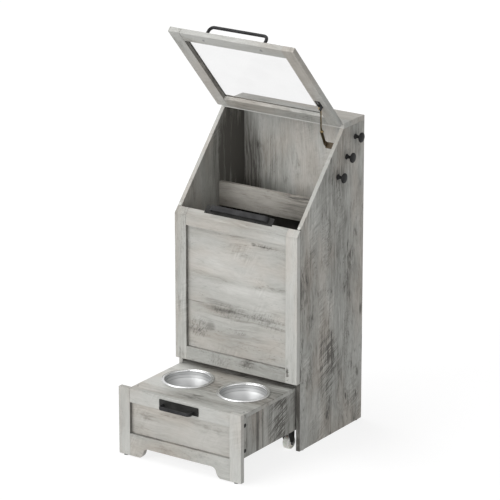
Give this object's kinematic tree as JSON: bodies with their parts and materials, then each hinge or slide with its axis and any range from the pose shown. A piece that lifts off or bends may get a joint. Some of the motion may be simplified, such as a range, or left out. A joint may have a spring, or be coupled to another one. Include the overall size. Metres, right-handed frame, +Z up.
{
  "type": "dog feeder cabinet",
  "caption": "Tall wooden dog feeder cabinet with a sloped windowed lid over a storage well, and a pull-out drawer on casters that holds steel bowls.",
  "frame": {"origin": "bottom centre of the model's box as it stands, with the lid up and the drawer pulled out", "axes": "+X to the right along the front, +Y to the back, +Z up"},
  "size_m": [0.424, 0.62, 1.152],
  "materials": {
    "board": "weathered grey oak laminate, satin",
    "window": "clear, polished",
    "dark_metal": "dark bronze powder coat, satin",
    "black_metal": "black paint, satin",
    "bowl_steel": "spun and polished steel",
    "brass_arm": "plain brass plate",
    "bronze_link": "aged brass",
    "brown_metal": "dark brown, satin",
    "zinc": "zinc-plated steel",
    "cream_plastic": "moulded, cream",
    "grey_plastic": "moulded, dark grey",
    "bumper": "soft clear rubber",
    "dowel_wood": "beech, bare"
  },
  "bodies": {
    "cabinet": {"left_side_panel": "board", "right_side_panel": "board", "top_board": "board", "back_panel": "board", "storage_floor": "board", "shelf_board": "board", "shelf_apron": "board", "front_centre_panel": "board", "front_left_stile": "board", "front_right_stile": "board", "front_top_rail": "board", "front_bottom_rail": "board", "pull_cleat": "board", "top_pull_plate": "dark_metal", "top_pull_strap": "dark_metal", "side_hooks": "black_metal", "cabinet_glides": "grey_plastic", "lid_bumpers": "bumper", "cabinet_cams": "zinc", "cabinet_cam_bolts": "zinc", "back_panel_screws": "zinc", "fitting_screws": "zinc", "hinge_fixed_leaves": "zinc", "hinge_pins": "zinc", "stay_side_bracket": "brown_metal"},
    "lid": {"lid_left_stile": "board", "lid_right_stile": "board", "lid_front_rail": "board", "lid_rear_rail": "board", "lid_window_pane": "window", "lid_dowels": "dowel_wood", "lid_handle": "dark_metal", "lid_screws": "zinc", "hinge_lid_leaves": "zinc", "stay_lid_bracket": "black_metal"},
    "stay_link": {"stay_link": "bronze_link"},
    "stay_arm": {"stay_arm": "brass_arm"},
    "drawer": {"drawer_centre_panel": "board", "drawer_left_stile": "board", "drawer_right_stile": "board", "drawer_top_rail": "board", "drawer_bottom_rail": "board", "drawer_top_board": "board", "drawer_left_side": "board", "drawer_right_side": "board", "drawer_back_board": "board", "caster_rail": "board", "bowl_left": "bowl_steel", "bowl_right": "bowl_steel", "drawer_pull_plate": "dark_metal", "drawer_pull_strap": "dark_metal", "drawer_cams": "zinc", "drawer_cam_bolts": "zinc", "drawer_screws": "zinc", "drawer_glides": "grey_plastic", "caster_forks": "black_metal", "caster_axles": "zinc"},
    "caster_left": {"caster_wheel_left": "cream_plastic"},
    "caster_right": {"caster_wheel_right": "cream_plastic"}
  },
  "joints": [
    {"name": "lid_hinge", "type": "hinge", "parent": "cabinet", "child": "lid", "pos_m": [-0.012, 0.1997, 0.8755], "axis": [1, 0, 0], "range_deg": [0, 95.91]},
    {"name": "drawer_slide", "type": "slide", "parent": "cabinet", "child": "drawer", "axis": [0, 1, 0], "range_m": [0, 0.265]},
    {"name": "stay_link_pivot", "type": "hinge", "parent": "cabinet", "child": "stay_link", "pos_m": [0.138, 0.19121, 0.81879], "axis": [1, 0, 0], "range_deg": [-72.58, 0]},
    {"name": "stay_arm_pivot", "type": "hinge", "parent": "lid", "child": "stay_arm", "pos_m": [0.168, 0.11732, 0.93962], "axis": [1, 0, 0], "range_deg": [-1.73, 0]},
    {"name": "left_caster_roll", "type": "hinge", "parent": "drawer", "child": "caster_left", "pos_m": [-0.171, 0.008, 0.019], "axis": [1, 0, 0], "continuous": true},
    {"name": "right_caster_roll", "type": "hinge", "parent": "drawer", "child": "caster_right", "pos_m": [0.147, 0.008, 0.019], "axis": [1, 0, 0], "continuous": true}
  ],
  "couplings": [
    {"joint": "stay_link_pivot", "follows": "lid_hinge", "ratio": -0.75659},
    {"joint": "stay_arm_pivot", "follows": "lid_hinge", "ratio": -0.017899}
  ]
}
